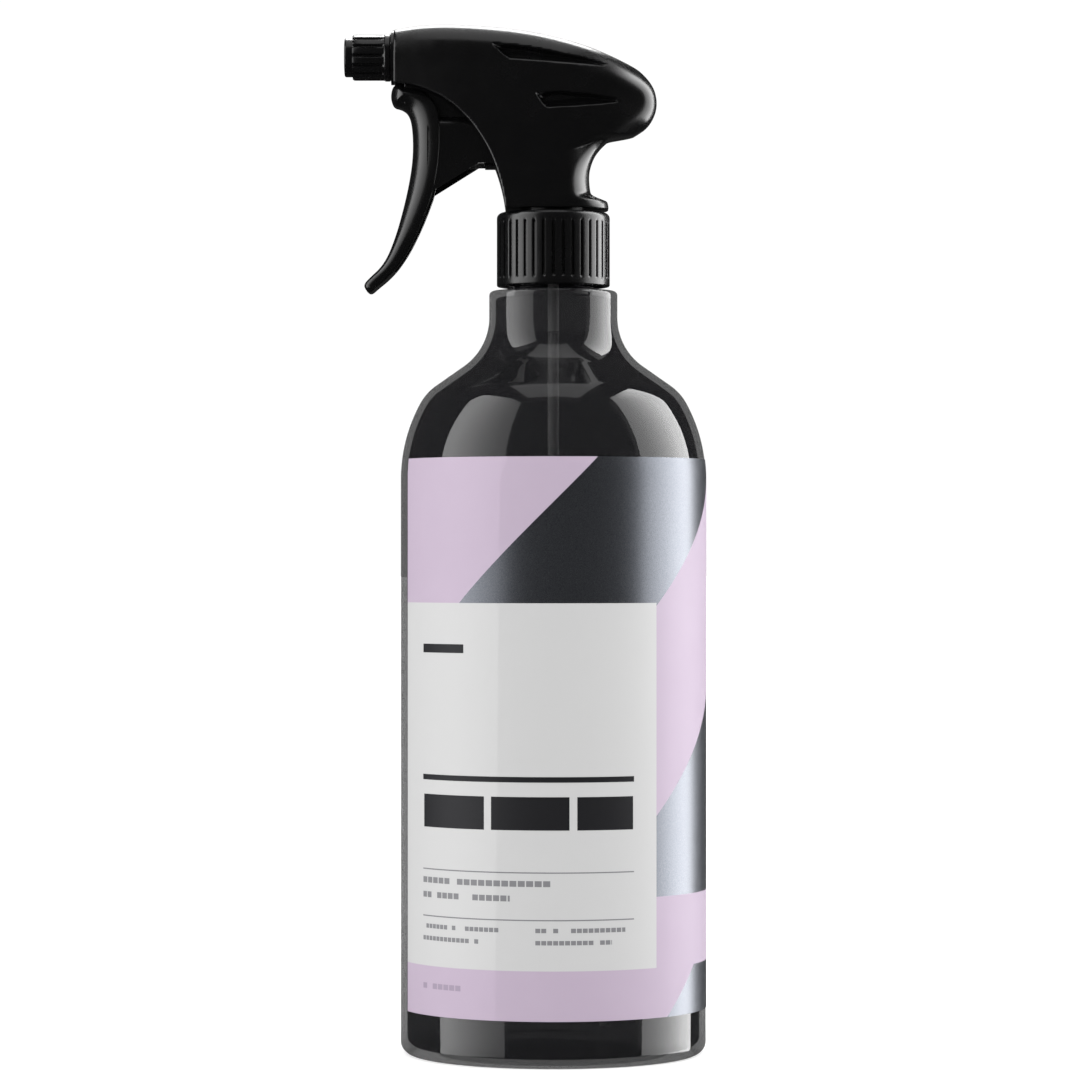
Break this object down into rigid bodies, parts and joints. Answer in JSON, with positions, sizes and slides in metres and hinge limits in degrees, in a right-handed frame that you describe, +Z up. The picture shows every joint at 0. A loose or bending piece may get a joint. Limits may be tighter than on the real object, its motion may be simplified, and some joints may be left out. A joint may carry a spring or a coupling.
{
  "type": "trigger spray bottle",
  "caption": "Round one-litre bottle of clay lubricant with a wrap label, a screw closure and a trigger sprayer with dip tube, piston pump and turning nozzle.",
  "frame": {"origin": "centre of the bottle's base, on the plane it stands on", "axes": "+Z up along the bottle's axis; the nozzle points to -X; the front of the label faces -Y"},
  "size_m": [0.1008, 0.0852, 0.2862],
  "materials": {
    "smoked_pet": "clear smoked, glossy",
    "label_film": "printed film, satin",
    "liquid": "clear liquid",
    "black_satin": "satin moulded black",
    "black_gloss": "glossy moulded black",
    "natural_plastic": "natural translucent",
    "seal": "soft seal",
    "stainless": "bright stainless"
  },
  "bodies": {
    "bottle": {"bottle": "smoked_pet", "label": "label_film", "lubricant_fill": "liquid"},
    "sprayer": {"pump_body": "black_satin", "shroud": "black_gloss", "neck_gasket": "seal", "tube_retainer": "natural_plastic", "dip_tube": "natural_plastic", "swirl_insert": "natural_plastic", "return_spring": "stainless", "outlet_spring": "stainless"},
    "closure": {"closure_cap": "black_satin"},
    "trigger": {"trigger": "black_gloss"},
    "piston": {"piston": "natural_plastic", "piston_seal": "seal"},
    "inlet_ball": {"inlet_ball": "stainless"},
    "outlet_valve": {"outlet_valve": "natural_plastic"},
    "nozzle": {"nozzle_cap": "black_gloss", "nozzle_washer": "seal"}
  },
  "joints": [
    {"name": "sprayer_lift", "type": "slide", "parent": "bottle", "child": "sprayer", "axis": [0, 0, 1], "range_m": [0, 0.00476]},
    {"name": "closure_turn", "type": "hinge", "parent": "sprayer", "child": "closure", "pos_m": [0, 0, 0.2236], "axis": [0, 0, 1], "range_deg": [0, 540]},
    {"name": "trigger_squeeze", "type": "hinge", "parent": "sprayer", "child": "trigger", "pos_m": [-0.038, 0, 0.271], "axis": [0, -1, 0], "range_deg": [0, 22], "stiffness_Nm_per_rad": 0.4, "springref_deg": -17.19},
    {"name": "piston_slide", "type": "slide", "parent": "sprayer", "child": "piston", "axis": [1, 0, 0], "range_m": [0, 0.00616], "deforming": ["return_spring"]},
    {"name": "nozzle_turn", "type": "hinge", "parent": "sprayer", "child": "nozzle", "pos_m": [-0.05, 0, 0.27755], "axis": [-1, 0, 0], "continuous": true},
    {"name": "ball_lift", "type": "slide", "parent": "sprayer", "child": "inlet_ball", "axis": [0, 0, 1], "range_m": [0, 0.0015]},
    {"name": "outlet_open", "type": "slide", "parent": "sprayer", "child": "outlet_valve", "axis": [-1, 0, 0], "range_m": [0, 0.001], "stiffness_N_per_m": 200, "springref_m": -0.002, "deforming": ["outlet_spring"]}
  ],
  "couplings": [
    {"joint": "closure_turn", "follows": "sprayer_lift", "rad_per_m": 1979},
    {"joint": "piston_slide", "follows": "trigger_squeeze", "m_per_rad": 0.016}
  ]
}
